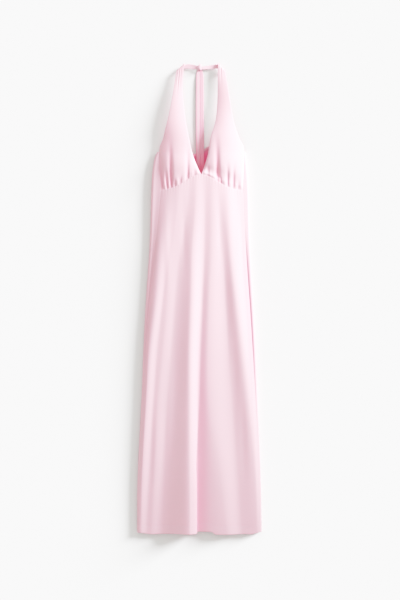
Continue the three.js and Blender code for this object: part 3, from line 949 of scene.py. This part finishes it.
def makeCup(node, ribs, gathers, pleats, seed):
    side = math.copysign(1, ribs[0]["outerX"])
    curves = curvesOf(ribs, key=None)
    draw = random.Random(seed)
    fine = []
    for i in range(fineGathers["count"]):
        spot = (i + draw.uniform(*fineGathers["spot"])) / fineGathers["count"]
        foot = side * mix(*fineGathers["span"], spot)
        depth = fineGathers["depth"] * draw.uniform(*fineGathers["vary"])
        reach = draw.uniform(*fineGathers["reach"])
        width = draw.uniform(*fineGathers["width"])
        fine.append(dict(foot=foot, head=foot, reach=reach, depth=depth, width=width))
    allGathers = gathers + fine

    def surface(share, station):
        rib = {column: curve(station) for column, curve in curves.items()}
        onSideSeam = 1 - ease(station - sideEnd)
        onSeam = min(rib["outerY"], backTopSide)
        outerX = mix(rib["outerX"], sideSeam(side, onSeam) - side * seamGap / 2, onSideSeam)
        outerZ = mix(rib["outerZ"], upperLayer(outerX, onSeam)[0], onSideSeam)
        x = mix(outerX, rib["innerX"], share)
        straight = mix(ribs[0]["outerY"], ribs[0]["innerY"], share)
        settle = clamp(1 - station / cupCut["settle"]) ** 2
        y = mix(rib["outerY"], rib["innerY"], share) + (seamLine(x) + seamGap / 2 - straight) * settle
        swell = math.sin(math.pi * clamp(share)) ** cupCut["crownPower"]
        free = mix(outerZ, rib["innerZ"], share) + rib["crown"] * swell
        seamZ = upperLayer(x, seamLine(x))[0]
        lift = max(0.0, y - seamLine(x))
        puff = cupCut["puff"] * ease(station / cupCut["puffRise"]) * (1 - ease(station / cupCut["puffEnd"]))
        calm = ease(share / cupCut["edgeCalm"]) * ease((1 - share) / cupCut["edgeCalm"])
        gathered = puff - gatherDepth(allGathers, x, lift)
        z = mix(seamZ, free, ease(station / cupCut["seamEnd"])) + gathered * calm
        width = math.hypot(outerX - rib["innerX"], rib["outerY"] - rib["innerY"])
        z -= seamRoll["underCups"] * rollDown(lift) if station < 1 else 0
        z -= pleatDepth(pleats, share, station)
        z -= rollDown(share * width) * onSideSeam
        return Vector((x, y, z))

    def pointAt(column, row):
        share, outerEdge, innerEdge = column
        station, seamTuck = row
        edge = surface(0, station) - surface(1, station)
        width = edge.length
        if not outerEdge and not innerEdge:
            point = surface(share, station)
            lift = max(0.0, point.y - seamLine(point.x))
            # Painted shade: a deeper pink in the troughs of the main gathers on the cup
            deep = gatherDepth(gathers, point.x, lift) if station < cupCut["shadeEnd"] else 0
            deep /= cupCut["fullShadeDepth"]
            point.y += cloth / 2 if seamTuck else 0
            point.z -= seamTuck
            return point, deep
        inset, drop = turnedEdge[(outerEdge or innerEdge) - 1]
        share = inset / width if outerEdge else 1 - inset / width
        normal = outwardNormal(surface, share, station, step=0.01)
        point = surface(share, station) - normal * drop * (1 if normal.z > 0 or station > foldUnder else -1)
        if outerEdge:
            sewn = surface(0, station) - Vector((0, 0, seamAllowance[outerEdge - 1]))
            point = point.lerp(sewn, 1 - ease((station - sideEnd) / sideFade))
        point.z -= seamTuck
        return point, 0.0

    shares = sharesAcross(cupCut["across"], cupCut["width"], cupCut["lead"])
    columns = [(0.0, k, 0) for k in (3, 2, 1)] + [(share, 0, 0) for share in shares]
    columns += [(1.0, 0, k) for k in (1, 2, 3)]
    if side > 0:
        columns.reverse()
    rows = [(0.0, tuck) for tuck in reversed(seamAllowance)]
    rows += [(strapStart * (i / cupCut["cup"]) ** cupCut["crowding"], 0) for i in range(cupCut["cup"])]
    rows += [(mix(strapStart, foldStart, i / cupCut["strap"]), 0) for i in range(cupCut["strap"])]
    rows += [(mix(foldStart, len(ribs) - 1, i / cupCut["fold"]), 0) for i in range(cupCut["fold"] + 1)]
    piece = layCloth(node + "_cloth", columns, rows, pointAt)
    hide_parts(node)

    def edgeTrack(fromInner, first, last):
        def track(t):
            station = mix(first, last, t)
            inset = stitching["edge"] / (surface(0, station) - surface(1, station)).length
            return (1 - inset if fromInner else inset), station

        return track

    last = foldStart + stitchedRibs["pastFold"]
    tracks = [edgeTrack(True, stitchedRibs["inner"], last), edgeTrack(False, stitchedRibs["outer"], last)]
    return piece, sewRows(node + "_stitches", [(surface, track, -side) for track in tracks])


# Ties, as flat tubes along their ribs
tieColumns = "outerX outerY outerZ innerX innerY innerZ"
leftTieRibs = tableOf(
    tieColumns,
    (-64, 1403, 4.3, -57.5, 1418.5, 4.3),
    (-52, 1415.4, 4.3, -44, 1428.4, 4.3),
    (-29, 1415, 4, -28.5, 1427.6, 5),
    (-11.5, 1414.4, 4, -11.2, 1423, 7.4),
)
rightTieRibs = tableOf(
    tieColumns,
    (63, 1403, 4.3, 57, 1418.5, 4.3),
    (52, 1415.4, 4.3, 46, 1428.4, 4.3),
    (26, 1414.2, 4.8, 25.6, 1425, 3.6),
    (2.5, 1413.4, 7, 2.3, 1421.4, 4),
)
leftEndRibs = tableOf(
    tieColumns,
    (-9, 1419, 1, -4.9, 1419, 1),
    (-14.6, 1397, 1.3, -4.4, 1397, 1.3),
    (-15.4, 1360, 2.8, -4.2, 1360, 2.8),
    (-15.6, 1270, 3.4, -4, 1270, 3.4),
    (-15.2, 1180, 3.1, -3.6, 1180, 3.1),
    (-14, 1120, 2.9, -2.4, 1120, 2.9),
    (-13, 1066, 2.6, -1.4, 1069, 2.6),
)
rightEndRibs = tableOf(
    tieColumns,
    (-4.2, 1419, 1, 0, 1419, 1),
    (-3.8, 1397, 1.3, 6.4, 1397, 1.3),
    (-3.6, 1360, 2.8, 7.6, 1360, 2.9),
    (-3.4, 1270, 3.4, 7.8, 1270, 3.5),
    (-3, 1180, 3.1, 8.4, 1180, 3.2),
    (-1.8, 1120, 2.9, 9.6, 1120, 3),
    (-0.6, 1062, 2.6, 11, 1060, 2.7),
)
tieCut = {
    "around": 20,
    "along": 40,
    "endAlong": 120,
    "wall": 0.5,
    "halfHeight": 0.55,
    "dip": 0.16,
    "square": 0.55,
    "step": 0.05,
}
# Painted shade along the tie ends: a deeper pink towards their foot, where the cups shade them, and outside
# a brighter band
endShade = {"from": 1200, "full": 1085, "depth": 0.5, "bandFrom": -12.2, "bandTo": -5.1, "beside": 0.2}


def paintedEndShade(x, y):
    beside = endShade["beside"] * (1 - ease(x - endShade["bandFrom"]) * ease(endShade["bandTo"] - x))
    return beside + endShade["depth"] * ease((endShade["from"] - y) / (endShade["from"] - endShade["full"]))


def makeTie(node, ribs, along):
    curves = curvesOf(ribs, key=None)

    def edges(station):
        outer = Vector([curves["outer" + axis](station) for axis in "XYZ"])
        inner = Vector([curves["inner" + axis](station) for axis in "XYZ"])
        return outer, inner

    def pointAt(around, station):
        outer, inner = edges(station)
        ahead, behind = edges(station + tieCut["step"]), edges(station - tieCut["step"])
        run = (ahead[0] + ahead[1] - behind[0] - behind[1]).normalized()
        across = inner - outer
        normal = across.cross(run).normalized()
        if normal.z < 0:
            normal.negate()
        turn = math.tau * around
        wide, high = math.cos(turn), math.sin(turn)
        wide = math.copysign(abs(wide) ** tieCut["square"], wide)
        high = math.copysign(abs(high) ** tieCut["square"], high)
        height = tieCut["halfHeight"] * high * (1 - tieCut["dip"] * (1 - wide * wide))
        point = (outer + inner) / 2 + across * (wide / 2) + normal * height
        # The tie ends carry painted shade
        return point, paintedEndShade(point.x, point.y) if "end" in node else 0.0

    columns = [i / tieCut["around"] for i in range(tieCut["around"] + 1)]
    rows = [mix(0, len(ribs) - 1, i / along) for i in range(along + 1)]
    piece = layCloth(node + "_cloth", columns, rows, pointAt, thickness=tieCut["wall"], closed=True)
    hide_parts(node)
    return piece


# Knot: two bands that pass over the joined ties, one across the other
knotBands = tableOf(
    "x y z turn long wide rise",
    (-4.6, 1419.5, 5.4, 72, 15, 8.5, 3.6),
    (-4.2, 1417.5, 4.8, 128, 14, 7.5, 2.6),
)
knotCut = {
    "around": 20,
    "along": 28,
    "halfHeight": 0.75,
    "wall": 0.5,
    "square": 0.6,
    "tuckUnder": 0.12,
    "endWidth": 0.82,
    "middleWidth": 0.18,
    "bulge": 0.7,
}


def makeKnotBand(name, band):
    turn = math.radians(band["turn"])
    run = Vector((math.cos(turn), math.sin(turn), 0))
    across = Vector((-math.sin(turn), math.cos(turn), 0))

    def pointAt(around, share):
        arch = math.pi * mix(-knotCut["tuckUnder"], 1 + knotCut["tuckUnder"], share)
        middle = Vector((band["x"], band["y"], band["z"]))
        middle -= run * (band["long"] / 2 * math.cos(arch))
        middle.z += band["rise"] * math.sin(arch)
        tangent = run * (band["long"] / 2 * math.sin(arch)) + Vector((0, 0, band["rise"] * math.cos(arch)))
        normal = tangent.normalized().cross(across) * -1
        if normal.dot(Vector((0, 0, math.sin(arch)))) < 0:
            normal.negate()
        angle = math.tau * around
        wide, high = math.cos(angle), math.sin(angle)
        belly = knotCut["endWidth"] + knotCut["middleWidth"] * math.sin(math.pi * share)
        wide = math.copysign(abs(wide) ** knotCut["square"], wide) * band["wide"] / 2 * belly
        high = math.copysign(abs(high) ** knotCut["square"], high) * knotCut["halfHeight"]
        high += knotCut["bulge"] * (1 - (2 * wide / band["wide"]) ** 2) * math.sin(math.pi * clamp(share))
        return middle + across * wide + normal * high, 0.0

    columns = [i / knotCut["around"] for i in range(knotCut["around"] + 1)]
    rows = [i / knotCut["along"] for i in range(knotCut["along"] + 1)]
    return layCloth(name, columns, rows, pointAt, thickness=knotCut["wall"], closed=True)


skirtFront, frontStitches = makeSkirtFront()
print("skirt front laid")
back, backStitches = makeBack()
print("back laid")
cupLeft, leftStitches = makeCup("cup_left", leftRibs, leftGathers, leftPleats, cupSeeds["left"])
cupRight, rightStitches = makeCup("cup_right", rightRibs, rightGathers, rightPleats, cupSeeds["right"])
print("cups laid")
tieLeft = makeTie("tie_left", leftTieRibs, tieCut["along"])
tieRight = makeTie("tie_right", rightTieRibs, tieCut["along"])
endLeft = makeTie("tie_end_left", leftEndRibs, tieCut["endAlong"])
endRight = makeTie("tie_end_right", rightEndRibs, tieCut["endAlong"])
knotOver = makeKnotBand("knot_over", knotBands[0])
knotUnder = makeKnotBand("knot_under", knotBands[1])
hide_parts("tie_knot")
print("ties and knot made")

# Floor and light
stageLook = {
    "floorSize": 60.0,
    "floorDrop": 0.0003,
    "floorColour": screen(231, 231, 231),
    "floorRoughness": 0.9,
    "floorSpecular": 0.1,
    "keyAzimuth": 30,
    "keyHeight": 22,
    "keySoftness": 24,
    "wideHeight": 14.5,
    "wideSoftness": 20,
    "wideStrength": 11.07,
    "keyPower": 1030,
    "keyDistance": 2.5,
    "keyAim": (0.4, 0.4),
    "keyCone": 46,
    "sky": 0.89,
    "skyColour": (1.0, 0.985, 0.955),
    "wideColour": (1.0, 1.015, 1.045),
    "keyColour": (1.0, 1.0, 1.03),
    "white": 2.0,
    "film": [(0.25, 0.5), (0.39, 0.72), (0.575, 0.875), (0.71, 0.9465), (0.8, 0.98)],
}


# A lamp that shines from a direction and lights the floor alone, or all but the floor
def hang(light, location, fromLight, floor, share):
    lamp = bpy.data.objects.new(light.name, light)
    lamp.location = location
    lamp.rotation_euler = fromLight.to_track_quat("Z", "Y").to_euler()
    bpy.context.scene.collection.objects.link(lamp)
    lit = bpy.data.collections.new(light.name)
    lit.objects.link(floor)
    lit.collection_objects[0].light_linking.link_state = share
    lamp.light_linking.receiver_collection = lit


def makeStage():
    mesh = bmesh.new()
    bmesh.ops.create_grid(mesh, x_segments=1, y_segments=1, size=stageLook["floorSize"] / 2)
    bmesh.ops.translate(mesh, verts=mesh.verts, vec=(0, 0, -stageLook["floorDrop"]))
    finish = Finish("floor")
    floor = objectOf("floor", mesh, [finish.show(finish.node("BsdfPrincipled", {}, {
        "Base Color": stageLook["floorColour"],
        "Roughness": stageLook["floorRoughness"],
        "Specular IOR Level": stageLook["floorSpecular"],
    }))])
    turn = math.radians(stageLook["keyAzimuth"])
    fromKey, fromWide = [
        Vector((math.cos(turn) * math.cos(lift), math.sin(turn) * math.cos(lift), math.sin(lift)))
        for lift in (math.radians(stageLook["keyHeight"]), math.radians(stageLook["wideHeight"]))
    ]
    wide = bpy.data.lights.new("wide", "SUN")
    wide.energy = stageLook["wideStrength"]
    wide.color = stageLook["wideColour"]
    wide.angle = math.radians(stageLook["wideSoftness"])
    hang(wide, fromWide, fromWide, floor, "INCLUDE")
    key = bpy.data.lights.new("key", "SPOT")
    key.energy = stageLook["keyPower"]
    key.color = stageLook["keyColour"]
    key.shadow_soft_size = stageLook["keyDistance"] * math.tan(math.radians(stageLook["keySoftness"] / 2))
    key.spot_size = math.radians(stageLook["keyCone"])
    key.spot_blend = 1
    aim = Vector((*stageLook["keyAim"], 0))
    hang(key, aim + fromKey * stageLook["keyDistance"], fromKey, floor, "EXCLUDE")
    world = bpy.data.worlds.new("studio")
    world.use_nodes = True
    world.node_tree.nodes["Background"].inputs["Color"].default_value = stageLook["skyColour"] + (1,)
    world.node_tree.nodes["Background"].inputs["Strength"].default_value = stageLook["sky"]
    bpy.context.scene.world = world
    view = bpy.context.scene.view_settings
    view.view_transform = "Standard"
    view.use_curve_mapping = True  # the camera's response, which rolls off towards white
    film = view.curve_mapping
    film.white_level = [stageLook["white"]] * 3
    for light, level in stageLook["film"]:
        film.curves[3].points.new(light, level)
    film.update()


makeStage()
print("stage set")
